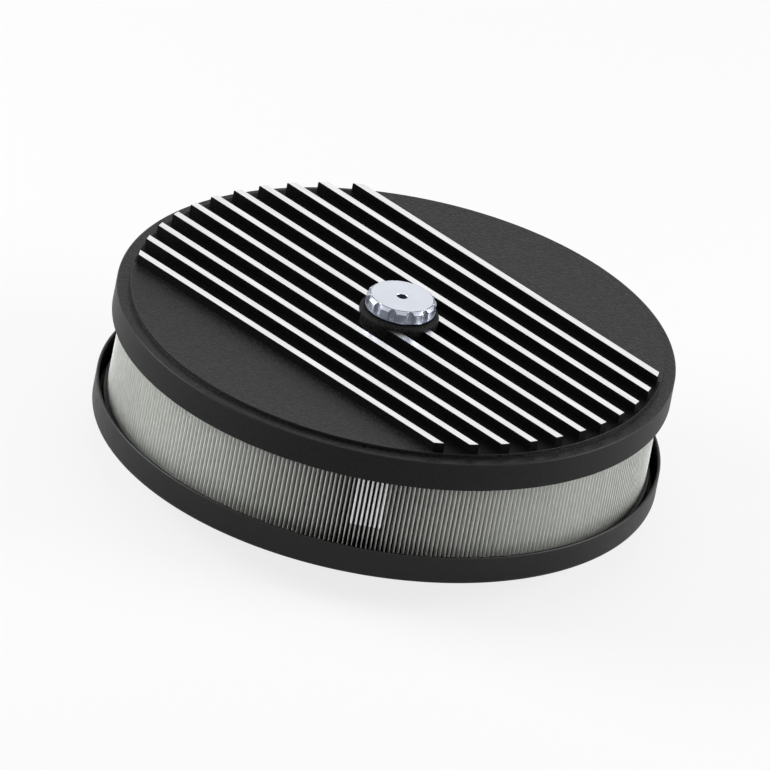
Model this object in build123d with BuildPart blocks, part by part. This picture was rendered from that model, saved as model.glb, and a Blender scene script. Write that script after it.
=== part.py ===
from build123d import *
import math
import os

# Lengths are in millimetres. The origin is on the axis of the neck, level with its lower edge.

# Base pan, spun from one sheet
sheet_thickness = 2.0
neck_inner_radius = 101.4
neck_height = 22.9
neck_flare_radius = 11.0
pan_wall_height = 17.5
pan_corner_radius = 4.0
pan_lip_rounding = 0.8
pan_clearance = 3.6

# Filter element, across its ring
element_outer_radius = 173.8
element_depth = 36.8
cap_edge_rounding = 1.2
outer_terrace_width = 6.7
ridge_outer_slope_width = 1.2
ridge_width = 1.4
ridge_inner_slope_width = 1.3
rim_slope_width = 1.4
rim_width = 1.4
groove_width = 1.3
crest_slope_width = 5.9
crest_width = 1.0
crest_inner_rounding = 5.2

# Filter element, heights of an end cap above the ends of the pleats
terrace_height = 4.4
ridge_height = 5.1
rim_height = 5.0
groove_height = 4.4
crest_foot_height = 5.3
crest_height = 9.8

# Paper pleats
pleat_count = 360
pleat_length = 62.9
pleat_outer_margin = 2.3
pleat_inner_margin = 2.0
paper_thickness = 0.4

# Cast lid
lid_plate_thickness = 4.0
lid_rim_thickness = 3.2
lid_rim_width = 8.1
lid_step_height = 2.8
lid_step_rounding = 0.5
lid_edge_rounding = 1.4
skirt_thickness = 3.2
skirt_height = 18.9
skirt_inside_rounding = 2.0
skirt_clearance = 0.8
underside_step_inset = 3.7

# Cooling fins on the lid
fin_count = 11
fin_pitch = 19.51
fin_width = 5.85
fin_height = 6.2
fin_end_margin = 1.9

# Centre boss of the lid
boss_radius = 25.4
boss_height = 9.2
boss_rounding = 2.8
stud_hole_radius = 3.5

# Seal washer under the knob
seal_thickness = 0.8
seal_outer_radius = 18.0
seal_inner_radius = 4.0

# Twelve-lobed knob
knob_radius = 22.2
knob_height = 8.6
knob_base_thickness = 1.0
knob_bevel_width = 2.2
knob_bevel_height = 2.1
flute_count = 12
flute_radius = 2.45
flute_depth = 2.3
thread_radius = 3.3
thread_mouth_bevel = 0.45

# Levels of the pieces as they stand on each other
floor_top = neck_height
pan_rim = floor_top + pan_wall_height
pleat_bottom = floor_top + crest_height
pleat_top = pleat_bottom + pleat_length
lid_underside = pleat_top + crest_height
lid_panel_top = lid_underside + lid_plate_thickness
lid_rim_top = lid_panel_top - lid_step_height
lid_rim_underside = lid_rim_top - lid_rim_thickness
skirt_bottom = lid_rim_top - skirt_height
boss_top = lid_panel_top + boss_height
knob_bottom = boss_top + seal_thickness
knob_top = knob_bottom + knob_height

# Radii that follow from the driving sizes
pan_inner_radius = element_outer_radius + pan_clearance
pan_outer_radius = pan_inner_radius + sheet_thickness
element_inner_radius = element_outer_radius - element_depth
skirt_inner_radius = element_outer_radius + skirt_clearance
lid_outer_radius = skirt_inner_radius + skirt_thickness
lid_panel_radius = lid_outer_radius - lid_rim_width
underside_step_radius = lid_panel_radius - underside_step_inset
fin_end_radius = lid_panel_radius - fin_end_margin
flute_centre_radius = knob_radius - flute_depth + flute_radius

# Radii across an end cap, from the outer edge inwards and from the inner wall outwards
ridge_foot_radius = element_outer_radius - outer_terrace_width
ridge_outer_radius = ridge_foot_radius - ridge_outer_slope_width
ridge_inner_radius = ridge_outer_radius - ridge_width
terrace_outer_radius = ridge_inner_radius - ridge_inner_slope_width
crest_outer_radius = element_inner_radius + crest_inner_rounding + crest_width
crest_foot_radius = crest_outer_radius + crest_slope_width
rim_inner_radius = crest_foot_radius + groove_width
rim_outer_radius = rim_inner_radius + rim_width
terrace_inner_radius = rim_outer_radius + rim_slope_width
groove_radius = crest_foot_radius + groove_width / 2

# Fold tips of the paper, which has the same thickness along every fold
fold_outer_radius = element_outer_radius - pleat_outer_margin
fold_inner_radius = element_inner_radius + pleat_inner_margin
fold_depth = fold_outer_radius - fold_inner_radius
fold_middle_radius = (fold_outer_radius + fold_inner_radius) / 2
half_pitch = math.pi / pleat_count
fold_reach = paper_thickness * fold_depth / (fold_middle_radius * half_pitch)


def cap_corners(pleat_end, direction):
    """Corners of an end cap's section, on the end of the pleats and away from it."""
    steps = [
        (element_inner_radius, 0),
        (element_outer_radius, 0),
        (element_outer_radius, terrace_height),
        (ridge_foot_radius, terrace_height),
        (ridge_outer_radius, ridge_height),
        (ridge_inner_radius, ridge_height),
        (terrace_outer_radius, terrace_height),
        (terrace_inner_radius, terrace_height),
        (rim_outer_radius, rim_height),
        (rim_inner_radius, rim_height),
        (groove_radius, groove_height),
        (crest_foot_radius, crest_foot_height),
        (crest_outer_radius, crest_height),
        (element_inner_radius, crest_height),
    ]
    return [(radius, pleat_end + direction * height) for radius, height in steps]


def zigzag(tip_radius, valley_radius):
    """Closed zigzag with one tip and one valley for each pleat."""
    corners = []
    for pleat in range(pleat_count):
        tip_angle = 2 * half_pitch * pleat
        valley_angle = tip_angle + half_pitch
        corners.append((tip_radius * math.cos(tip_angle), tip_radius * math.sin(tip_angle)))
        corners.append((valley_radius * math.cos(valley_angle), valley_radius * math.sin(valley_angle)))
    return corners


def nearest(corners, place):
    """The corner that lies nearest a place in the sketch."""
    return corners.sort_by_distance(place)[0]


os.makedirs("parts", exist_ok=True)

# Base pan
with BuildPart() as base_pan:
    with BuildSketch(Plane.XZ) as pan_section:
        with BuildLine():
            Polyline(
                (neck_inner_radius, 0),
                (neck_inner_radius, floor_top),
                (pan_inner_radius, floor_top),
                (pan_inner_radius, pan_rim),
                (pan_outer_radius, pan_rim),
                (pan_outer_radius, floor_top - sheet_thickness),
                (neck_inner_radius + sheet_thickness, floor_top - sheet_thickness),
                (neck_inner_radius + sheet_thickness, 0),
                close=True,
            )
        make_face()
        flare_top = nearest(pan_section.vertices(), (neck_inner_radius, floor_top))
        fillet(flare_top, neck_flare_radius)
        flare_under = nearest(
            pan_section.vertices(), (neck_inner_radius + sheet_thickness, floor_top - sheet_thickness)
        )
        fillet(flare_under, neck_flare_radius - sheet_thickness)
        corner_inside = nearest(pan_section.vertices(), (pan_inner_radius, floor_top))
        fillet(corner_inside, pan_corner_radius - sheet_thickness)
        corner_outside = nearest(pan_section.vertices(), (pan_outer_radius, floor_top - sheet_thickness))
        fillet(corner_outside, pan_corner_radius)
        lip_inside = nearest(pan_section.vertices(), (pan_inner_radius, pan_rim))
        fillet(lip_inside, pan_lip_rounding)
        lip_outside = nearest(pan_section.vertices(), (pan_outer_radius, pan_rim))
        fillet(lip_outside, pan_lip_rounding)
    revolve(axis=Axis.Z)
base_pan.part.label = "base_pan"
export_step(base_pan.part, "parts/base_pan.step")

# Bottom end cap of the element, crest down on the floor of the pan
with BuildPart() as element_bottom_cap:
    with BuildSketch(Plane.XZ) as bottom_section:
        with BuildLine():
            Polyline(*cap_corners(pleat_bottom, -1), close=True)
        make_face()
        bottom_edge = nearest(bottom_section.vertices(), (element_outer_radius, pleat_bottom - terrace_height))
        fillet(bottom_edge, cap_edge_rounding)
        bottom_crest = nearest(bottom_section.vertices(), (element_inner_radius, pleat_bottom - crest_height))
        fillet(bottom_crest, crest_inner_rounding)
    revolve(axis=Axis.Z)
element_bottom_cap.part.label = "element_bottom_cap"
export_step(element_bottom_cap.part, "parts/element_bottom_cap.step")

# Pleated paper between the caps
with BuildPart() as pleated_media:
    with BuildSketch(Plane.XY.offset(pleat_bottom)):
        with BuildLine():
            Polyline(*zigzag(fold_outer_radius, fold_inner_radius + fold_reach), close=True)
        make_face()
        with BuildLine():
            Polyline(*zigzag(fold_outer_radius - fold_reach, fold_inner_radius), close=True)
        make_face(mode=Mode.SUBTRACT)
    extrude(amount=pleat_length)
pleated_media.part.label = "pleated_media"
export_step(pleated_media.part, "parts/pleated_media.step")

# Top end cap of the element, crest up against the lid
with BuildPart() as element_top_cap:
    with BuildSketch(Plane.XZ) as top_section:
        with BuildLine():
            Polyline(*cap_corners(pleat_top, 1), close=True)
        make_face()
        top_edge = nearest(top_section.vertices(), (element_outer_radius, pleat_top + terrace_height))
        fillet(top_edge, cap_edge_rounding)
        top_crest = nearest(top_section.vertices(), (element_inner_radius, pleat_top + crest_height))
        fillet(top_crest, crest_inner_rounding)
    revolve(axis=Axis.Z)
element_top_cap.part.label = "element_top_cap"
export_step(element_top_cap.part, "parts/element_top_cap.step")

# Lid with its skirt, boss and fins
fin_places = [(0, fin_pitch * (fin - (fin_count - 1) / 2)) for fin in range(fin_count)]
with BuildPart() as lid:
    with BuildSketch(Plane.XZ) as lid_section:
        with BuildLine():
            Polyline(
                (stud_hole_radius, lid_underside),
                (underside_step_radius, lid_underside),
                (underside_step_radius, lid_rim_underside),
                (skirt_inner_radius, lid_rim_underside),
                (skirt_inner_radius, skirt_bottom),
                (lid_outer_radius, skirt_bottom),
                (lid_outer_radius, lid_rim_top),
                (lid_panel_radius, lid_rim_top),
                (lid_panel_radius, lid_panel_top),
                (boss_radius, lid_panel_top),
                (boss_radius, boss_top),
                (stud_hole_radius, boss_top),
                close=True,
            )
        make_face()
        skirt_inside = nearest(lid_section.vertices(), (skirt_inner_radius, lid_rim_underside))
        fillet(skirt_inside, skirt_inside_rounding)
        lid_edge = nearest(lid_section.vertices(), (lid_outer_radius, lid_rim_top))
        fillet(lid_edge, lid_edge_rounding)
        panel_edge = nearest(lid_section.vertices(), (lid_panel_radius, lid_panel_top))
        fillet(panel_edge, lid_step_rounding)
        boss_edge = nearest(lid_section.vertices(), (boss_radius, boss_top))
        fillet(boss_edge, boss_rounding)
    revolve(axis=Axis.Z)
    with BuildSketch(Plane.XY.offset(lid_panel_top)):
        with Locations(*fin_places):
            Rectangle(2 * fin_end_radius, fin_width)
        Circle(fin_end_radius, mode=Mode.INTERSECT)
        Circle(stud_hole_radius, mode=Mode.SUBTRACT)
    extrude(amount=fin_height)
lid.part.label = "lid"
export_step(lid.part, "parts/lid.step")

# Seal washer under the knob
with BuildPart() as knob_seal:
    with BuildSketch(Plane.XY.offset(boss_top)):
        Circle(seal_outer_radius)
        Circle(seal_inner_radius, mode=Mode.SUBTRACT)
    extrude(amount=seal_thickness)
knob_seal.part.label = "knob_seal"
export_step(knob_seal.part, "parts/knob_seal.step")

# Knob with hollow flutes between its lobes, which end above a thin round base
with BuildPart() as knob:
    with BuildSketch(Plane.XY.offset(knob_bottom)):
        Circle(knob_radius)
        Circle(thread_radius, mode=Mode.SUBTRACT)
    extrude(amount=knob_base_thickness)
    with BuildSketch(Plane.XY.offset(knob_bottom + knob_base_thickness)):
        Circle(knob_radius)
        with PolarLocations(flute_centre_radius, flute_count):
            Circle(flute_radius, mode=Mode.SUBTRACT)
        Circle(thread_radius, mode=Mode.SUBTRACT)
    extrude(amount=knob_height - knob_base_thickness)
    with BuildSketch(Plane.XZ):
        with BuildLine():
            Polyline(
                (knob_radius - knob_bevel_width, knob_top),
                (knob_radius + knob_bevel_width, knob_top),
                (knob_radius + knob_bevel_width, knob_top - 2 * knob_bevel_height),
                close=True,
            )
        make_face()
        with BuildLine():
            Polyline(
                (thread_radius - thread_mouth_bevel, knob_top),
                (thread_radius + thread_mouth_bevel, knob_top),
                (thread_radius - thread_mouth_bevel, knob_top - 2 * thread_mouth_bevel),
                close=True,
            )
        make_face()
    revolve(axis=Axis.Z, mode=Mode.SUBTRACT)
knob.part.label = "knob"
export_step(knob.part, "parts/knob.step")
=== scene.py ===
import math
import random

import bmesh
import bpy
from mathutils import Matrix, Vector


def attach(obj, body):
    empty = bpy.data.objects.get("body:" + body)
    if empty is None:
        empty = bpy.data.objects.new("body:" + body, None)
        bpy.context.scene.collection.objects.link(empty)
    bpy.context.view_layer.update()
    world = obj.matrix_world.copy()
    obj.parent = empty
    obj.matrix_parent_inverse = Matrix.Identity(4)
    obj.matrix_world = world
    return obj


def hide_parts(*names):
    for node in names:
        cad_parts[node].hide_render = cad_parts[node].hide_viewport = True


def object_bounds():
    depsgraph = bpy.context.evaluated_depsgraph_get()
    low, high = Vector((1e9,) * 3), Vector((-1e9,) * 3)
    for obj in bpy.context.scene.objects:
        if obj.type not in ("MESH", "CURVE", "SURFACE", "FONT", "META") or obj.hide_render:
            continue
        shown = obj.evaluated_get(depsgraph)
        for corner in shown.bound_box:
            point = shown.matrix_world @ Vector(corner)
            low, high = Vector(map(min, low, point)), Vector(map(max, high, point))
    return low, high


# Sizes below are in millimetres and are turned into metres where a mesh is made, and angles are in degrees
MM = 0.001

# Points once round a ring, and the angles from which an edge stays sharp
RING_SEGMENTS = 384
WASHER_SEGMENTS = 192
SHARP_EDGE = 32.0
SHARP_PAPER_EDGE = 50.0
SHARP_KNOB_EDGE = 28.0

# Base pan
SHEET = 2.0
NECK_RADIUS = 101.4
NECK_HEIGHT = 22.9
NECK_FLARE = 11.0
PAN_INNER_RADIUS = 177.4
PAN_RIM = 40.4
PAN_CORNER = 4.0
PAN_LIP = 0.8
NECK_EDGE = 0.4

# Filter element
ELEMENT_RADIUS = 173.8
ELEMENT_BORE = 137.0
PLEAT_BOTTOM = 32.7
PLEAT_TOP = 95.6
PLEAT_COUNT = 360
PLEAT_OUTER = 171.5
PLEAT_INNER = 139.0
FOLD_REACH = 9.6
FOLD_TIP = 0.3
FOLD_CREASE = 0.1
FOLD_SHARES = (0.14, 0.42, 0.72)
FOLD_SEED = 11
FOLD_LEAN = 0.04
FOLD_SWAY = 0.03
FOLD_SHRINK = 0.08

# Corners of an end cap: radius, height from the end of the pleats, rounding
CAP_STEPS = (
    (ELEMENT_BORE, 0.0, 0.0),
    (ELEMENT_RADIUS, 0.0, 0.5),
    (ELEMENT_RADIUS, 4.4, 1.2),
    (167.1, 4.4, 0.3),
    (165.9, 5.1, 0.35),
    (164.5, 5.1, 0.35),
    (163.2, 4.4, 0.3),
    (153.2, 4.4, 0.3),
    (151.8, 5.0, 0.35),
    (150.4, 5.0, 0.2),
    (149.75, 4.4, 0.1),
    (149.1, 5.3, 0.2),
    (143.2, 9.8, 1.2),
    (ELEMENT_BORE, 9.8, 5.2),
)

# White mark on the crests of a few pleats
MARK_FIRST_PLEAT = -51
MARK_LAST_PLEAT = -45
MARK_BOTTOM = 52.6
MARK_TOP_FIRST = 94.1
MARK_TOP_LAST = 89.4
MARK_DEPTH = 8.0
MARK_WIDTH = 1.3
MARK_WRAP = 2.6
MARK_TAPER = 0.25
MARK_TAPER_LENGTH = 0.3

# Rows of the paper's mesh as shares of the pleats' length, one of them at the mark's lower edge
PAPER_ROWS = (0.0, 0.12, (MARK_BOTTOM - PLEAT_BOTTOM) / (PLEAT_TOP - PLEAT_BOTTOM), 0.5, 0.7, 0.88, 1.0)

# Lid
LID_UNDERSIDE = 105.4
LID_PANEL_TOP = 109.4
LID_RIM_TOP = 106.6
LID_RIM_UNDERSIDE = 103.4
LID_RADIUS = 177.8
LID_PANEL_RADIUS = 169.7
LID_STEP_RADIUS = 166.0
SKIRT_INNER_RADIUS = 174.6
SKIRT_BOTTOM = 87.7
SKIRT_CORNER = 2.0
LID_EDGE = 0.6
LID_RIM_ROUNDING = 1.4
LID_PANEL_FOOT = 0.15
LID_PANEL_EDGE = 0.35
STUD_HOLE = 3.5
STUD_HOLE_EDGE = 0.4
STUD_HOLE_SEGMENTS = 64
PLUG_REACH = 1.0
BOSS_RADIUS = 25.4
BOSS_TOP = 118.6
BOSS_ROUNDING = 2.8
BOSS_FOOT = 0.6
FIN_COUNT = 11
FIN_PITCH = 19.51
FIN_WIDTH = 5.85
FIN_TOP = 115.6
FIN_END_RADIUS = 167.8
FIN_ROOT_ROUNDING = 0.1
FIN_EDGE = 0.35
FIN_SUNK = 0.8

# How far from a level, the fins, the boss or the thread a face may lie and still get its material, the
# painted shade of the channels and of the thread among them
LEVEL_MARGIN = 0.01
FIN_MARGIN = 0.05
BOSS_MARGIN = 0.1
THREAD_MARGIN = 0.02

# Part of a face's normal that has to point up, or outwards, for the face to count as such
UPWARD = 0.5
LEVEL = 0.9
OUTWARD = 0.5

# Knob and its washer
SEAL_RADIUS = 18.0
SEAL_HOLE = 4.0
SEAL_TOP = 119.4
SEAL_EDGE = 0.2
SEAL_HOLE_EDGE = 0.15
KNOB_TOP = 128.0
KNOB_RADIUS = 22.2
KNOB_BASE_TOP = 120.4
KNOB_LOBE_RADIUS = 22.1
KNOB_FLAT_RADIUS = 20.0
KNOB_BEVEL_DROP = 2.1
KNOB_BEVEL_WIDTH = 2.2
KNOB_BASE_EDGE = 0.3
KNOB_CREASE = 0.04
KNOB_EDGE = 0.2
KNOB_LOBE_EDGE = 0.6
FLUTE_COUNT = 12
FLUTE_RADIUS = 2.45
FLUTE_CENTRE = 22.35
FLUTE_EDGE = 0.22
FLUTE_HALF_STEPS = 7
LOBE_STEPS = 8
KNOB_SHOULDER = 0.25
# Radius beyond which the knob's faces get the darker painted reflection of its sides
KNOB_SIDE_START = 19.5
# Depth and tilt of the faces at the top's edge that get the dark painted reflection line
REFLECTION_LINE_DEPTH = 0.3
REFLECTION_LINE_TILT = (0.74, 0.99)
THREAD_RADIUS = 3.3
THREAD_MOUTH = 0.45
THREAD_MOUTH_EDGE = 0.12
THREAD_DEPTH = 0.4
THREAD_FLANK = 1.5
THREAD_START = 1.0
THREAD_FADE = 0.5
THREAD_PITCH = 1.27
THREAD_STEPS = 44

# Photograph's view
AZIMUTH = 40.5
ELEVATION = 27.455
ROLL = 11.02
FRAME_WIDTH = 482.4

# Studio, in metres and watts; a softbox has a place (right, towards the camera, up), a size and a power
CAMERA_DISTANCE = 4.0
CAMERA_CLIP = (0.5, 30.0)
SOFTBOXES = (
    ("left_softbox", (-1.9, -0.1, 0.8), 1.4, 50),
    ("right_softbox", (1.9, -0.1, 0.8), 1.4, 42),
    ("top_softbox", (0.0, -0.6, 2.3), 1.8, 14),
)
AMBIENT_STRENGTH = 0.18
FLOOR_REACH = 9.0
FLOOR_GLOW = 0.8

# Range of a noise that carries its colours and its roughness
NOISE_LOW = 0.3
NOISE_HIGH = 0.7


def rounded(corners, steps=5):
    """Closed outline through corners (x, y, rounding), each rounding made of the same number of points."""
    outline = []
    for index, (x, y, rounding) in enumerate(corners):
        corner = Vector((x, y))
        if rounding <= 0:
            outline.append(corner)
            continue
        before = (Vector(corners[index - 1][:2]) - corner).normalized()
        after = (Vector(corners[(index + 1) % len(corners)][:2]) - corner).normalized()
        half = before.angle(after) / 2
        centre = corner + (before + after).normalized() * (rounding / math.sin(half))
        reach = rounding / math.tan(half)
        start = corner + before * reach - centre
        turn = start.angle_signed(corner + after * reach - centre)
        for step in range(steps + 1):
            angle = -turn * step / steps
            cosine, sine = math.cos(angle), math.sin(angle)
            turned_x = start.x * cosine - start.y * sine
            turned_y = start.x * sine + start.y * cosine
            outline.append(centre + Vector((turned_x, turned_y)))
    return outline


def swept(sections):
    """Vertices and faces of a ring from closed sections (angle round Z, points) of equal length."""
    vertices = []
    faces = []
    count = len(sections[0][1])
    for angle, points in sections:
        cosine, sine = math.cos(angle), math.sin(angle)
        vertices += [(p[0] * cosine * MM, p[0] * sine * MM, p[1] * MM) for p in points]
    for segment in range(len(sections)):
        here = segment * count
        there = (segment + 1) % len(sections) * count
        for index in range(count):
            after = (index + 1) % count
            faces.append((here + index, there + index, there + after, here + after))
    return vertices, faces


def turned(outline, segments):
    """Vertices and faces of one closed section turned round Z."""
    return swept([(2 * math.pi * segment / segments, outline) for segment in range(segments)])


def make_object(name, vertices, faces, sharp_degrees=SHARP_EDGE):
    """Mesh object with outward faces, smooth apart from edges sharper than the given angle."""
    mesh = bpy.data.meshes.new(name)
    mesh.from_pydata(vertices, [], faces)
    mesh.validate()
    piece = bpy.data.objects.new(name, mesh)
    bpy.context.scene.collection.objects.link(piece)
    outward(mesh)
    smooth(mesh, sharp_degrees)
    return piece


def outward(mesh):
    """Turns every face of a closed mesh outwards."""
    volume = 0.0
    for face in mesh.polygons:
        corners = [mesh.vertices[v].co for v in face.vertices]
        for index in range(1, len(corners) - 1):
            volume += corners[0].dot(corners[index].cross(corners[index + 1]))
    if volume < 0:
        mesh.flip_normals()


def smooth(mesh, sharp_degrees):
    """Smooth shading that breaks at sharp edges."""
    mesh.shade_smooth()
    mesh.set_sharp_from_angle(angle=math.radians(sharp_degrees))


def dress(piece, body, node, slot, *materials):
    """Gives a piece its materials and body and hides the CAD node that it stands for; the slot argument is
    not used.
    """
    for material in materials:
        piece.data.materials.append(material)
    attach(piece, body)
    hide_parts(node)


def linear(value):
    """Linear value of a display grey level from 0 to 255."""
    level = value / 255
    return level / 12.92 if level <= 0.04045 else ((level + 0.055) / 1.055) ** 2.4


def colour(red, green, blue):
    """Linear colour with alpha from display levels from 0 to 255."""
    return (linear(red), linear(green), linear(blue), 1.0)


class Surface:
    """A material with a Principled shader and short calls for its procedural detail."""

    def __init__(self, name, base, roughness, metallic=0.0, specular=0.5):
        self.material = bpy.data.materials.new(name)
        self.material.use_nodes = True
        self.nodes = self.material.node_tree.nodes
        self.links = self.material.node_tree.links
        self.shader = self.nodes["Principled BSDF"]
        self.shader.inputs["Base Color"].default_value = base
        self.shader.inputs["Roughness"].default_value = roughness
        self.shader.inputs["Metallic"].default_value = metallic
        self.shader.inputs["Specular IOR Level"].default_value = specular
        self.place = self.nodes.new("ShaderNodeTexCoord")

    def noise(self, scale, detail=3.0, stretch=(1, 1, 1)):
        """Noise over the piece, whose scale counts features in a metre."""
        mapping = self.nodes.new("ShaderNodeMapping")
        mapping.inputs["Scale"].default_value = stretch
        self.links.new(self.place.outputs["Object"], mapping.inputs["Vector"])
        texture = self.nodes.new("ShaderNodeTexNoise")
        texture.inputs["Scale"].default_value = scale
        texture.inputs["Detail"].default_value = detail
        self.links.new(mapping.outputs["Vector"], texture.inputs["Vector"])
        return texture.outputs["Fac"]

    def grain(self, source, strength, distance):
        """Fine relief from a noise, laid over what is there already."""
        bump = self.nodes.new("ShaderNodeBump")
        bump.inputs["Strength"].default_value = strength
        bump.inputs["Distance"].default_value = distance
        self.links.new(source, bump.inputs["Height"])
        normal = self.shader.inputs["Normal"]
        if normal.is_linked:
            self.links.new(normal.links[0].from_socket, bump.inputs["Normal"])
        self.links.new(bump.outputs["Normal"], normal)

    def vary_colour(self, source, low, high):
        """Base colour that runs from low to high with a noise."""
        ramp = self.nodes.new("ShaderNodeValToRGB")
        ramp.color_ramp.elements[0].position = NOISE_LOW
        ramp.color_ramp.elements[1].position = NOISE_HIGH
        ramp.color_ramp.elements[0].color = low
        ramp.color_ramp.elements[1].color = high
        self.links.new(source, ramp.inputs["Fac"])
        self.links.new(ramp.outputs["Color"], self.shader.inputs["Base Color"])

    def vary_roughness(self, source, low, high):
        """Roughness that runs from low to high with a noise."""
        span = self.nodes.new("ShaderNodeMapRange")
        span.inputs["From Min"].default_value = NOISE_LOW
        span.inputs["From Max"].default_value = NOISE_HIGH
        span.inputs["To Min"].default_value = low
        span.inputs["To Max"].default_value = high
        self.links.new(source, span.inputs["Value"])
        self.links.new(span.outputs["Result"], self.shader.inputs["Roughness"])


def textured_black():
    """Fine-textured satin coating on the cast lid."""
    surface = Surface("lid_coating", colour(16, 16, 16), 0.44, specular=0.18)
    fine = surface.noise(560, 3)
    surface.vary_colour(fine, colour(0, 0, 0), colour(34, 34, 34))
    surface.vary_roughness(surface.noise(480, 3), 0.36, 0.52)
    surface.grain(fine, 1.0, 0.0004)
    return surface.material


def painted_channel_shade():
    """Near-black painted shade in the channels between the fins, over a faint grain."""
    surface = Surface("channel_painted_shade", colour(4, 4, 4), 0.5, specular=0.06)
    fine = surface.noise(500, 3)
    surface.vary_colour(fine, colour(2, 2, 2), colour(7, 7, 7))
    surface.vary_roughness(surface.noise(300, 3), 0.44, 0.56)
    surface.grain(fine, 0.5, 0.0002)
    return surface.material


def boss_black():
    """Coarse matt coating on the boss under the knob."""
    surface = Surface("boss_coating", colour(9, 9, 9), 0.55, specular=0.06)
    coarse = surface.noise(900, 2)
    surface.vary_colour(coarse, colour(0, 0, 0), colour(38, 38, 38))
    surface.vary_roughness(surface.noise(500, 3), 0.48, 0.62)
    surface.grain(coarse, 1.0, 0.0004)
    return surface.material


def skirt_painted_light():
    """Smoother copy of the lid coating on the skirt, with a lighter tone that is painted light."""
    surface = Surface("skirt_coat_painted_light", colour(27, 27, 27), 0.44, specular=0.13)
    fine = surface.noise(560, 3)
    surface.vary_colour(fine, colour(24, 24, 24), colour(31, 31, 31))
    surface.vary_roughness(surface.noise(480, 3), 0.42, 0.46)
    surface.grain(fine, 0.2, 0.0001)
    return surface.material


def machined_top():
    """Bare fin tops with fine tool lines along the fins."""
    surface = Surface("fin_top_metal", colour(236, 237, 238), 0.22, metallic=1.0)
    lines = surface.noise(1.0, 3, (25, 1100, 1100))
    surface.vary_colour(lines, colour(222, 223, 225), colour(246, 246, 247))
    surface.vary_roughness(lines, 0.18, 0.26)
    surface.grain(lines, 0.1, 0.00003)
    return surface.material


def satin_black():
    """Smooth satin coating on the spun pan."""
    surface = Surface("pan_coating", colour(12, 12, 12), 0.42, specular=0.3)
    fine = surface.noise(900, 3)
    surface.vary_colour(fine, colour(8, 8, 8), colour(16, 16, 16))
    surface.vary_roughness(surface.noise(160, 3), 0.38, 0.46)
    surface.grain(fine, 0.2, 0.00008)
    return surface.material


def painted_pan_shade():
    """Darker, duller copy of the pan coating for the pan's inside; the darker tone is painted shade."""
    surface = Surface("pan_interior_shade", colour(6, 6, 6), 0.46, specular=0.1)
    fine = surface.noise(900, 3)
    surface.vary_colour(fine, colour(2, 2, 2), colour(12, 12, 12))
    surface.vary_roughness(surface.noise(160, 3), 0.42, 0.5)
    surface.grain(fine, 0.2, 0.00008)
    return surface.material


def moulded_rubber():
    """Satin moulded end caps of the element."""
    surface = Surface("cap_moulding", colour(18, 18, 18), 0.46, specular=0.26)
    fine = surface.noise(900, 3)
    surface.vary_colour(fine, colour(14, 14, 14), colour(22, 22, 22))
    surface.vary_roughness(surface.noise(200, 3), 0.42, 0.5)
    surface.grain(fine, 0.1, 0.00006)
    return surface.material


def seal_black():
    """Matt washer under the knob."""
    surface = Surface("seal_rubber", colour(14, 14, 14), 0.7, specular=0.3)
    fine = surface.noise(1800, 2)
    surface.vary_colour(fine, colour(10, 10, 10), colour(18, 18, 18))
    surface.grain(fine, 0.2, 0.00005)
    return surface.material


def filter_paper():
    """Resin-treated paper with soft fibres and slightly uneven colour."""
    surface = Surface("filter_paper", colour(213, 215, 211), 0.85, specular=0.2)
    fibres = surface.noise(650, 5, (1, 1, 0.35))
    surface.vary_colour(fibres, colour(203, 205, 200), colour(221, 223, 219))
    surface.vary_roughness(surface.noise(90, 2), 0.78, 0.92)
    surface.grain(fibres, 0.3, 0.00012)
    return surface.material


def mark_white():
    """White mark printed on the crests of a few pleats."""
    surface = Surface("mark_white", colour(253, 253, 253), 0.7, specular=0.3)
    fibres = surface.noise(650, 5, (1, 1, 0.35))
    surface.vary_colour(fibres, colour(251, 251, 251), colour(255, 255, 255))
    surface.grain(fibres, 0.15, 0.0001)
    return surface.material


def satin_metal():
    """Polished satin metal of the knob's flat top."""
    surface = Surface("knob_metal", colour(216, 220, 229), 0.18, metallic=1.0)
    surface.vary_colour(surface.noise(90, 3), colour(213, 217, 226), colour(219, 223, 232))
    surface.vary_roughness(surface.noise(60, 2), 0.17, 0.19)
    return surface.material


def knob_side_painted_reflection():
    """Duller, darker bluish copy of the knob metal on its bevel, lobes and flutes; the darker tone is a
    painted reflection of the dark lid round it.
    """
    surface = Surface("knob_side_dark_reflection", colour(166, 171, 183), 0.34, metallic=1.0)
    surface.vary_colour(surface.noise(90, 3), colour(162, 167, 179), colour(170, 175, 187))
    surface.vary_roughness(surface.noise(60, 2), 0.32, 0.36)
    return surface.material


def knob_edge_painted_reflection():
    """Painted dark reflection along the rounded edge where the knob's flat top ends."""
    surface = Surface("knob_edge_dark_reflection", colour(74, 77, 86), 0.4, metallic=1.0)
    surface.vary_colour(surface.noise(90, 3), colour(70, 73, 82), colour(78, 81, 90))
    surface.vary_roughness(surface.noise(60, 2), 0.38, 0.42)
    return surface.material


def thread_painted_shade():
    """Dull metal of the tapped hole, darkened with painted shade."""
    surface = Surface("thread_painted_shade", colour(44, 46, 58), 0.5, metallic=1.0)
    surface.vary_colour(surface.noise(700, 3), colour(36, 38, 50), colour(52, 54, 66))
    surface.vary_roughness(surface.noise(500, 3), 0.45, 0.6)
    return surface.material


def cap_outline(pleat_end, direction):
    """Section of an end cap on one end of the pleats."""
    return rounded([(x, pleat_end + direction * y, r) for x, y, r in CAP_STEPS], steps=6)


def build_pan():
    """Base pan with its flared neck."""
    vertices, faces = turned(PAN_OUTLINE, RING_SEGMENTS)
    pan = make_object("pan_shell", vertices, faces)
    outside, inside = range(2)
    # Inward faces and the floor get the darker copy of the coating, painted shade
    for face in pan.data.polygons:
        place = face.center / MM
        inwards = face.normal.x * place.x + face.normal.y * place.y < 0
        floor = face.normal.z > UPWARD and place.z < PAN_RIM - SHEET
        face.material_index = inside if inwards or floor else outside
    dress(pan, "pan", "base_pan", "pan_black", satin_black(), painted_pan_shade())


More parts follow.
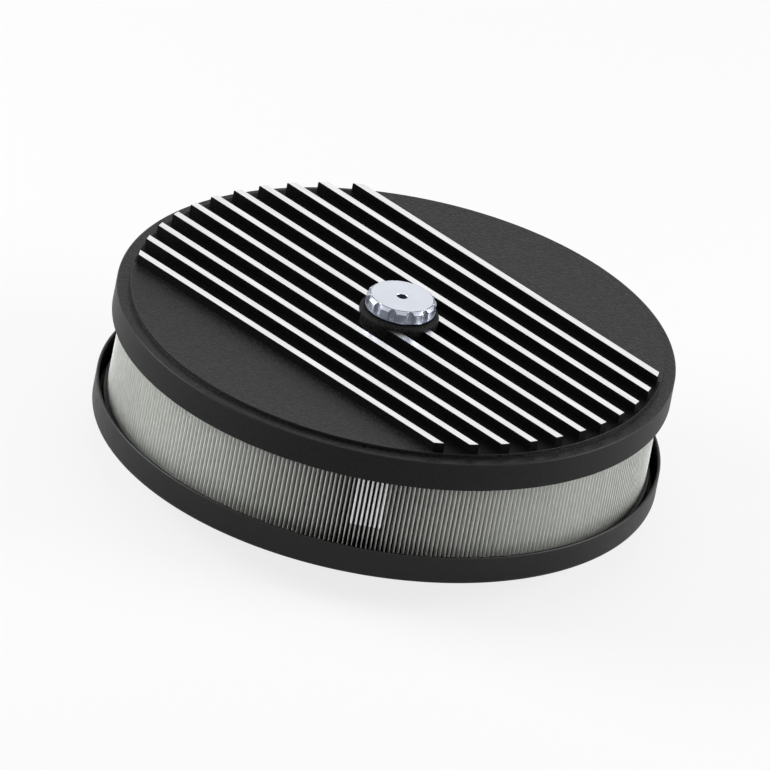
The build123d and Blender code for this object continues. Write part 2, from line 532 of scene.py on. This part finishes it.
def build_caps():
    """The two moulded end caps, one above and one below the pleats."""
    rubber = moulded_rubber()
    for name, node, end, direction in (
        ("cap_ring_top", "element_top_cap", PLEAT_TOP, 1),
        ("cap_ring_bottom", "element_bottom_cap", PLEAT_BOTTOM, -1),
    ):
        vertices, faces = turned(cap_outline(end, direction), RING_SEGMENTS)
        cap = make_object(name, vertices, faces)
        dress(cap, "element", node, "cap_rubber", rubber)


def fold_sides(crest, valley, outer_round, inner_round):
    """Half a pleat on one face of the paper: points (offset at the crest, radius, offset at the valley)."""
    points = []
    crest_centre = PLEAT_OUTER - crest
    valley_centre = PLEAT_INNER + valley
    for step in range(3):
        turn = math.radians(90 - 45 * step)
        points.append((outer_round * math.cos(turn), crest_centre + outer_round * math.sin(turn), 0.0))
    for share in FOLD_SHARES:
        radius = crest_centre + (valley_centre - crest_centre) * share
        points.append((outer_round * (1 - share), radius, -inner_round * share))
    for step in range(3):
        turn = math.radians(45 * step)
        points.append((0.0, valley_centre - inner_round * math.sin(turn), -inner_round * math.cos(turn)))
    return points


def pleat_columns(outer_round, inner_round, crest, valley, lean, shrink):
    """Columns (angle, radius, weight, pleat) once round one face of the paper."""
    half = math.pi / PLEAT_COUNT
    depth = PLEAT_OUTER - PLEAT_INNER
    columns = []
    side = fold_sides(crest, valley, outer_round, inner_round)
    for pleat in range(PLEAT_COUNT):
        middle = 2 * half * pleat
        run = [(-1, point) for point in reversed(side[1:])] + [(1, point) for point in side[:-1]]
        for sign, (near, radius, far) in run:
            share = min(max((PLEAT_OUTER - crest - radius) / (depth - crest - valley), 0), 1)
            weight = min(max((radius - PLEAT_INNER) / depth, 0), 1)
            angle = middle + sign * (near / radius + share * half + far / radius)
            angle += weight * lean[pleat] / radius
            columns.append((angle, radius - weight * shrink[pleat], weight, pleat))
    return columns


def build_pleats():
    """Folded paper with pointed crests, slightly uneven as real folds are, and the white mark."""
    chance = random.Random(FOLD_SEED)
    lean = [chance.uniform(-FOLD_LEAN, FOLD_LEAN) for _ in range(PLEAT_COUNT)]
    sway = [chance.uniform(-FOLD_SWAY, FOLD_SWAY) for _ in range(PLEAT_COUNT)]
    shrink = [chance.uniform(0.0, FOLD_SHRINK) for _ in range(PLEAT_COUNT)]
    reach = FOLD_REACH + FOLD_CREASE
    outer_face = pleat_columns(FOLD_TIP, FOLD_CREASE, FOLD_TIP, reach, lean, shrink)
    inner_face = pleat_columns(FOLD_CREASE, FOLD_TIP, reach, FOLD_TIP, lean, shrink)
    vertices = []
    for face in (outer_face, inner_face):
        for level in PAPER_ROWS:
            height = PLEAT_BOTTOM + (PLEAT_TOP - PLEAT_BOTTOM) * level
            bow = math.sin(math.pi * level)
            for angle, radius, weight, pleat in face:
                turn = angle + weight * bow * sway[pleat] / radius
                vertices.append((radius * math.cos(turn) * MM, radius * math.sin(turn) * MM, height * MM))
    count = len(outer_face)
    rows = len(PAPER_ROWS)
    faces = []
    for row in range(rows - 1):
        for column in range(count):
            after = (column + 1) % count
            low = row * count
            high = low + count
            faces.append((low + column, low + after, high + after, high + column))
            inside = rows * count + low
            above = inside + count
            faces.append((inside + after, inside + column, above + column, above + after))
    top = (rows - 1) * count
    back = rows * count
    for column in range(count):
        after = (column + 1) % count
        faces.append((after, column, back + column, back + after))
        faces.append((top + column, top + after, back + top + after, back + top + column))
    pleats = make_object("paper_pleats", vertices, faces, SHARP_PAPER_EDGE)
    mark_pleats(pleats)
    coat_crests(pleats)
    dress(pleats, "element", "pleated_media", "filter_paper", filter_paper(), mark_white())


def mark_top(pleat):
    """Height where the white mark ends on a pleat."""
    share = (pleat - MARK_FIRST_PLEAT) / (MARK_LAST_PLEAT - MARK_FIRST_PLEAT)
    return MARK_TOP_FIRST + share * (MARK_TOP_LAST - MARK_TOP_FIRST)


def coat_crests(pleats):
    """Adds the mark's thick coat round the crests of its pleats to their mesh."""
    half = MARK_WIDTH / 2
    crest = PLEAT_OUTER - FOLD_TIP
    side = [(crest - MARK_WRAP, half - MARK_TAPER), (crest - MARK_WRAP + MARK_TAPER_LENGTH, half)]
    for step in range(4):
        turn = math.radians(30 * step)
        side.append((crest + half * math.sin(turn), half * math.cos(turn)))
    outline = side + [(radius, -across) for radius, across in reversed(side[:-1])]
    count = len(outline)
    vertices = []
    faces = []
    for pleat in range(MARK_FIRST_PLEAT, MARK_LAST_PLEAT + 1):
        angle = 2 * math.pi * pleat / PLEAT_COUNT
        cosine, sine = math.cos(angle), math.sin(angle)
        first = len(vertices)
        for height in (MARK_BOTTOM, mark_top(pleat)):
            for radius, across in outline:
                x, y = radius * cosine - across * sine, radius * sine + across * cosine
                vertices.append((x * MM, y * MM, height * MM))
        faces.append(tuple(first + index for index in reversed(range(count))))
        faces.append(tuple(first + count + index for index in range(count)))
        for index in range(count):
            after = (index + 1) % count
            faces.append((first + index, first + after, first + count + after, first + count + index))
    coat = make_object("mark_coat", vertices, faces, SHARP_PAPER_EDGE)
    for face in coat.data.polygons:
        face.material_index = 1
    both = bmesh.new()
    both.from_mesh(pleats.data)
    both.from_mesh(coat.data)
    both.to_mesh(pleats.data)
    both.free()
    bpy.data.objects.remove(coat)


def mark_pleats(pleats):
    """Gives the crest faces under the white mark the second material."""
    for face in pleats.data.polygons:
        place = face.center / MM
        radius = math.hypot(place.x, place.y)
        if radius < PLEAT_OUTER - MARK_DEPTH or place.z < MARK_BOTTOM:
            continue
        pleat = round(math.atan2(place.y, place.x) / (2 * math.pi) * PLEAT_COUNT)
        if not MARK_FIRST_PLEAT <= pleat <= MARK_LAST_PLEAT:
            continue
        if place.z < mark_top(pleat):
            face.material_index = 1


def fin_outline(middle, grow):
    """Plan outline of a fin grown sideways and at its ends by an amount."""
    half = FIN_WIDTH / 2 + grow
    radius = FIN_END_RADIUS + grow
    sides = [middle - half + 2 * half * step / 6 for step in range(7)]
    right = [(math.sqrt(radius * radius - y * y), y) for y in sides]
    left = [(-x, y) for x, y in reversed(right)]
    return right + left


def build_fin(middle):
    """Closed mesh of one fin that is sunk a little into the plate."""
    levels = [(LID_PANEL_TOP - FIN_SUNK, FIN_ROOT_ROUNDING)]
    for step in range(5):
        turn = math.radians(90 * step / 4)
        height = LID_PANEL_TOP + FIN_ROOT_ROUNDING * (1 - math.cos(turn))
        levels.append((height, FIN_ROOT_ROUNDING * (1 - math.sin(turn))))
    levels.append((FIN_TOP - FIN_EDGE, 0.0))
    levels.append((FIN_TOP, -FIN_EDGE))
    vertices = []
    for height, grow in levels:
        vertices += [(x * MM, y * MM, height * MM) for x, y in fin_outline(middle, grow)]
    count = len(fin_outline(middle, 0.0))
    faces = [tuple(reversed(range(count)))]
    for level in range(len(levels) - 1):
        for index in range(count):
            after = (index + 1) % count
            low = level * count
            faces.append((low + index, low + after, low + count + after, low + count + index))
    top = (len(levels) - 1) * count
    faces.append(tuple(top + index for index in range(count)))
    return make_object("fin", vertices, faces)


def build_lid():
    """Cast lid: turned plate, skirt and boss, joined with the fins into one mesh."""
    outline = rounded(
        [
            (STUD_HOLE, LID_UNDERSIDE, STUD_HOLE_EDGE),
            (LID_STEP_RADIUS, LID_UNDERSIDE, LID_EDGE),
            (LID_STEP_RADIUS, LID_RIM_UNDERSIDE, LID_EDGE),
            (SKIRT_INNER_RADIUS, LID_RIM_UNDERSIDE, SKIRT_CORNER),
            (SKIRT_INNER_RADIUS, SKIRT_BOTTOM, LID_EDGE),
            (LID_RADIUS, SKIRT_BOTTOM, LID_EDGE),
            (LID_RADIUS, LID_RIM_TOP, LID_RIM_ROUNDING),
            (LID_PANEL_RADIUS, LID_RIM_TOP, LID_PANEL_FOOT),
            (LID_PANEL_RADIUS, LID_PANEL_TOP, LID_PANEL_EDGE),
            (BOSS_RADIUS, LID_PANEL_TOP, BOSS_FOOT),
            (BOSS_RADIUS, BOSS_TOP, BOSS_ROUNDING),
            (STUD_HOLE, BOSS_TOP, STUD_HOLE_EDGE),
        ],
        steps=6,
    )
    vertices, faces = turned(outline, RING_SEGMENTS)
    lid = make_object("lid_casting", vertices, faces)
    tools = []
    for number in range(FIN_COUNT):
        tools.append((build_fin(FIN_PITCH * (number - (FIN_COUNT - 1) / 2)), "UNION"))
    tools.append((turned_plug(STUD_HOLE, LID_UNDERSIDE - PLUG_REACH, BOSS_TOP + PLUG_REACH), "DIFFERENCE"))
    for tool, way in tools:
        change = lid.modifiers.new("join", "BOOLEAN")
        change.operation = way
        change.solver = "EXACT"
        change.object = tool
    graph = bpy.context.evaluated_depsgraph_get()
    joined = bpy.data.meshes.new_from_object(lid.evaluated_get(graph))
    lid.modifiers.clear()
    lid.data = joined
    joined.name = "lid_casting"
    joined.materials.clear()
    for tool, _ in tools:
        bpy.data.objects.remove(tool)
    smooth(joined, SHARP_EDGE)
    plate, bare, channel, boss, skirt = range(5)
    fin_field = FIN_PITCH * (FIN_COUNT - 1) / 2 + FIN_WIDTH / 2 + FIN_MARGIN
    for face in joined.polygons:
        place = face.center / MM
        radius = math.hypot(place.x, place.y)
        outwards = (face.normal.x * place.x + face.normal.y * place.y) / radius
        if radius < BOSS_RADIUS + BOSS_MARGIN:
            face.material_index = boss
        # Outward faces of the skirt get the lighter copy of the coating, painted light
        elif outwards > OUTWARD and radius > LID_RADIUS - LID_RIM_ROUNDING:
            face.material_index = skirt
        elif abs(place.z - FIN_TOP) < LEVEL_MARGIN and face.normal.z > LEVEL:
            face.material_index = bare
        # Faces at and above panel level in the field of fins, fin sides included, get the near-black
        # painted shade of the channels
        elif place.z > LID_PANEL_TOP - LEVEL_MARGIN and abs(place.y) < fin_field:
            face.material_index = channel
        else:
            face.material_index = plate
    even = lid.modifiers.new("even_normals", "WEIGHTED_NORMAL")
    even.keep_sharp = True
    even.weight = 100
    lid_surfaces = (textured_black(), machined_top(), painted_channel_shade(), boss_black(), skirt_painted_light())
    dress(lid, "cover", "lid", "lid_black", *lid_surfaces)


def turned_plug(radius, low, high):
    """Closed round plug that clears the stud hole through the joined fins."""
    count = STUD_HOLE_SEGMENTS
    vertices = []
    for height in (low, high):
        for step in range(count):
            angle = 2 * math.pi * step / count
            vertices.append((radius * math.cos(angle) * MM, radius * math.sin(angle) * MM, height * MM))
    faces = [tuple(reversed(range(count))), tuple(range(count, 2 * count))]
    for step in range(count):
        after = (step + 1) % count
        faces.append((step, after, count + after, count + step))
    return make_object("stud_hole_plug", vertices, faces)


def build_seal():
    """Thin washer between the boss and the knob."""
    outline = rounded(
        [
            (SEAL_HOLE, BOSS_TOP, SEAL_HOLE_EDGE),
            (SEAL_RADIUS, BOSS_TOP, SEAL_EDGE),
            (SEAL_RADIUS, SEAL_TOP, SEAL_EDGE),
            (SEAL_HOLE, SEAL_TOP, SEAL_HOLE_EDGE),
        ],
        steps=4,
    )
    vertices, faces = turned(outline, WASHER_SEGMENTS)
    seal = make_object("seal_washer", vertices, faces)
    dress(seal, "washer", "knob_seal", "seal_rubber", seal_black())


def knob_outline():
    """Points once round the knob's flutes and lobes, with slightly rounded lobe edges."""
    pitch = 2 * math.pi / FLUTE_COUNT
    squares = FLUTE_CENTRE**2 + KNOB_LOBE_RADIUS**2 - FLUTE_RADIUS**2
    half = math.acos(squares / (2 * FLUTE_CENTRE * KNOB_LOBE_RADIUS))
    widest = math.asin(KNOB_LOBE_RADIUS * math.sin(half) / FLUTE_RADIUS)
    reach = widest - FLUTE_EDGE / FLUTE_RADIUS
    start = half + FLUTE_EDGE / KNOB_LOBE_RADIUS
    flute = []
    for step in range(2 * FLUTE_HALF_STEPS + 1):
        turn = reach * (step / FLUTE_HALF_STEPS - 1)
        flute.append(Vector((FLUTE_CENTRE - FLUTE_RADIUS * math.cos(turn), FLUTE_RADIUS * math.sin(turn))))
    lobe = []
    for step in range(LOBE_STEPS + 1):
        turn = start + (pitch - 2 * start) * step / LOBE_STEPS
        lobe.append(Vector((KNOB_LOBE_RADIUS * math.cos(turn), KNOB_LOBE_RADIUS * math.sin(turn))))
    edge = Vector((KNOB_LOBE_RADIUS * math.cos(half), KNOB_LOBE_RADIUS * math.sin(half)))
    rising = []
    for share in (0.25, 0.5, 0.75):
        rest = 1 - share
        rising.append(flute[-1] * rest**2 + edge * 2 * share * rest + lobe[0] * share**2)
    falling = [Vector((point.x, -point.y)) for point in reversed(rising)]
    outline = []
    for number in range(FLUTE_COUNT):
        turn = Matrix.Rotation(pitch * number, 2)
        onward = Matrix.Rotation(pitch * (number + 1), 2)
        outline += [turn @ point for point in flute + rising + lobe]
        outline += [onward @ point for point in falling]
    return outline


def knob_section(angle, radius):
    """Section of the knob at an angle, down its threaded hole and up its outside."""
    flat = min(KNOB_FLAT_RADIUS, radius - KNOB_SHOULDER)
    slope = KNOB_BEVEL_DROP / KNOB_BEVEL_WIDTH
    shoulder = KNOB_TOP - max(radius - KNOB_FLAT_RADIUS, KNOB_SHOULDER) * slope
    mouth = THREAD_RADIUS + THREAD_MOUTH
    broad = max(radius - KNOB_FLAT_RADIUS, 0) / (KNOB_LOBE_RADIUS - KNOB_FLAT_RADIUS)
    section = rounded(
        [
            (THREAD_RADIUS, SEAL_TOP, 0.0),
            (KNOB_RADIUS, SEAL_TOP, KNOB_BASE_EDGE),
            (KNOB_RADIUS, KNOB_BASE_TOP, KNOB_CREASE),
            (radius, KNOB_BASE_TOP, KNOB_CREASE),
            (radius, shoulder, KNOB_EDGE),
            (flat, KNOB_TOP, KNOB_EDGE + KNOB_LOBE_EDGE * broad),
            (mouth, KNOB_TOP, THREAD_MOUTH_EDGE),
            (THREAD_RADIUS, KNOB_TOP - THREAD_MOUTH, 0.0),
        ],
        steps=4,
    )
    start = KNOB_TOP - THREAD_MOUTH
    length = start - SEAL_TOP
    for step in range(1, THREAD_STEPS):
        depth = length * step / THREAD_STEPS
        height = start - depth
        turn = (height / THREAD_PITCH - angle / (2 * math.pi)) % 1.0
        ridge = min(abs(2 * turn - 1) * THREAD_FLANK, 1.0)
        fade = min(max(depth - THREAD_START, 0) / THREAD_FADE, (length - depth) / THREAD_FADE, 1.0)
        section.append(Vector((THREAD_RADIUS - THREAD_DEPTH * ridge * fade, height)))
    return section


def build_knob():
    """Twelve-lobed knob with a bevelled top and a threaded hole."""
    sections = []
    for point in knob_outline():
        angle = math.atan2(point.y, point.x)
        sections.append((angle, knob_section(angle, point.length)))
    vertices, faces = swept(sections)
    knob = make_object("knob_body", vertices, faces, SHARP_KNOB_EDGE)
    top, thread, side, line = range(4)
    steepest, flattest = REFLECTION_LINE_TILT
    for face in knob.data.polygons:
        place = face.center / MM
        radius = math.hypot(place.x, place.y)
        # Faces of the threaded hole get painted shade
        if radius < THREAD_RADIUS + THREAD_MARGIN:
            face.material_index = thread
        elif radius < KNOB_SIDE_START:
            face.material_index = top
        # Faces at the flat top's rounded edge get the dark painted reflection line
        elif steepest < face.normal.z < flattest and place.z > KNOB_TOP - REFLECTION_LINE_DEPTH:
            face.material_index = line
        # All other faces of the knob get the darker painted reflection
        else:
            face.material_index = side
    metals = (satin_metal(), thread_painted_shade(), knob_side_painted_reflection(), knob_edge_painted_reflection())
    dress(knob, "turning_knob", "knob", "knob_metal", *metals)


def softbox(name, place, size, power):
    """Square soft light that faces the object."""
    data = bpy.data.lights.new(name, "AREA")
    data.shape = "SQUARE"
    data.size = size
    data.energy = power
    lamp = bpy.data.objects.new(name, data)
    lamp.location = place
    lamp.rotation_euler = (CENTRE - Vector(place)).to_track_quat("-Z", "Y").to_euler()
    bpy.context.scene.collection.objects.link(lamp)


def white_background(nodes, strength):
    """Background node of plain white at a strength."""
    background = nodes.new("ShaderNodeBackground")
    background.inputs["Color"].default_value = (1, 1, 1, 1)
    background.inputs["Strength"].default_value = strength
    return background


def build_light():
    """Even white surroundings and three softboxes."""
    world = bpy.data.worlds.new("studio")
    bpy.context.scene.world = world
    world.use_nodes = True
    nodes, links = world.node_tree.nodes, world.node_tree.links
    nodes.clear()
    path = nodes.new("ShaderNodeLightPath")
    seen = nodes.new("ShaderNodeMath")
    seen.operation = "MAXIMUM"
    links.new(path.outputs["Is Camera Ray"], seen.inputs[0])
    links.new(path.outputs["Is Glossy Ray"], seen.inputs[1])
    also = nodes.new("ShaderNodeMath")
    also.operation = "MAXIMUM"
    links.new(seen.outputs[0], also.inputs[0])
    links.new(path.outputs["Is Transmission Ray"], also.inputs[1])
    ambient = white_background(nodes, AMBIENT_STRENGTH)
    shown = white_background(nodes, 1.0)
    mix = nodes.new("ShaderNodeMixShader")
    links.new(also.outputs[0], mix.inputs["Fac"])
    links.new(ambient.outputs[0], mix.inputs[1])
    links.new(shown.outputs[0], mix.inputs[2])
    output = nodes.new("ShaderNodeOutputWorld")
    links.new(mix.outputs[0], output.inputs["Surface"])
    turn = math.radians(AZIMUTH)
    right = Vector((math.cos(turn), math.sin(turn), 0))
    near = Vector((math.sin(turn), -math.cos(turn), 0))
    up = Vector((0, 0, 1))
    for name, place, size, power in SOFTBOXES:
        softbox(name, right * place[0] + near * place[1] + up * place[2], size, power)


def build_floor():
    """Plain pale floor that keeps the object's soft shadow."""
    corners = [(x * FLOOR_REACH, y * FLOOR_REACH, 0) for x, y in ((-1, -1), (1, -1), (1, 1), (-1, 1))]
    mesh = bpy.data.meshes.new("studio_floor")
    mesh.from_pydata(corners, [], [(0, 1, 2, 3)])
    floor = bpy.data.objects.new("studio_floor", mesh)
    bpy.context.scene.collection.objects.link(floor)
    material = bpy.data.materials.new("studio_floor")
    material.use_nodes = True
    nodes, links = material.node_tree.nodes, material.node_tree.links
    nodes.clear()
    matt = nodes.new("ShaderNodeBsdfDiffuse")
    matt.inputs["Color"].default_value = (0.8, 0.8, 0.8, 1)
    glow = nodes.new("ShaderNodeEmission")
    glow.inputs["Color"].default_value = (1, 1, 1, 1)
    glow.inputs["Strength"].default_value = 1.0
    path = nodes.new("ShaderNodeLightPath")
    share = nodes.new("ShaderNodeMath")
    share.operation = "MULTIPLY"
    share.inputs[1].default_value = FLOOR_GLOW
    links.new(path.outputs["Is Camera Ray"], share.inputs[0])
    mix = nodes.new("ShaderNodeMixShader")
    links.new(share.outputs[0], mix.inputs["Fac"])
    links.new(matt.outputs[0], mix.inputs[1])
    links.new(glow.outputs[0], mix.inputs[2])
    output = nodes.new("ShaderNodeOutputMaterial")
    links.new(mix.outputs[0], output.inputs["Surface"])
    mesh.materials.append(material)


def build_camera():
    """Camera without perspective at the photograph's viewing angle."""
    data = bpy.data.cameras.new("photo_camera")
    data.type = "ORTHO"
    data.ortho_scale = FRAME_WIDTH * MM
    data.clip_start, data.clip_end = CAMERA_CLIP
    camera = bpy.data.objects.new("photo_camera", data)
    bpy.context.scene.collection.objects.link(camera)
    bpy.context.scene.camera = camera
    turn, rise = math.radians(AZIMUTH), math.radians(ELEVATION)
    back = Vector((math.sin(turn) * math.cos(rise), -math.cos(turn) * math.cos(rise), math.sin(rise)))
    camera.rotation_mode = "QUATERNION"
    camera.location = CENTRE + back * CAMERA_DISTANCE
    tilt = Matrix.Rotation(math.radians(ROLL), 4, "Z").to_quaternion()
    camera.rotation_quaternion = (-back).to_track_quat("-Z", "Y") @ tilt


PAN_OUTLINE = rounded(
    [
        (NECK_RADIUS, 0.0, NECK_EDGE),
        (NECK_RADIUS, NECK_HEIGHT, NECK_FLARE),
        (PAN_INNER_RADIUS, NECK_HEIGHT, PAN_CORNER - SHEET),
        (PAN_INNER_RADIUS, PAN_RIM, PAN_LIP),
        (PAN_INNER_RADIUS + SHEET, PAN_RIM, PAN_LIP),
        (PAN_INNER_RADIUS + SHEET, NECK_HEIGHT - SHEET, PAN_CORNER),
        (NECK_RADIUS + SHEET, NECK_HEIGHT - SHEET, NECK_FLARE - SHEET),
        (NECK_RADIUS + SHEET, 0.0, NECK_EDGE),
    ],
    steps=8,
)

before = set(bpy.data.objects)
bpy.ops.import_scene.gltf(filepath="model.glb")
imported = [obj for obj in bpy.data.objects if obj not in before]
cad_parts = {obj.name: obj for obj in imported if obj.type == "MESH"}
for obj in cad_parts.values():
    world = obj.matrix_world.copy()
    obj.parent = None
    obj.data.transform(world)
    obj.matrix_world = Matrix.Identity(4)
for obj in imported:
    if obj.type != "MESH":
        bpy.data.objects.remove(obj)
cad_low, cad_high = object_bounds()
bpy.context.scene.view_settings.view_transform = "Standard"
CENTRE = (cad_low + cad_high) / 2

build_pan()
build_caps()
build_pleats()
build_lid()
build_seal()
build_knob()
build_floor()
build_light()
build_camera()
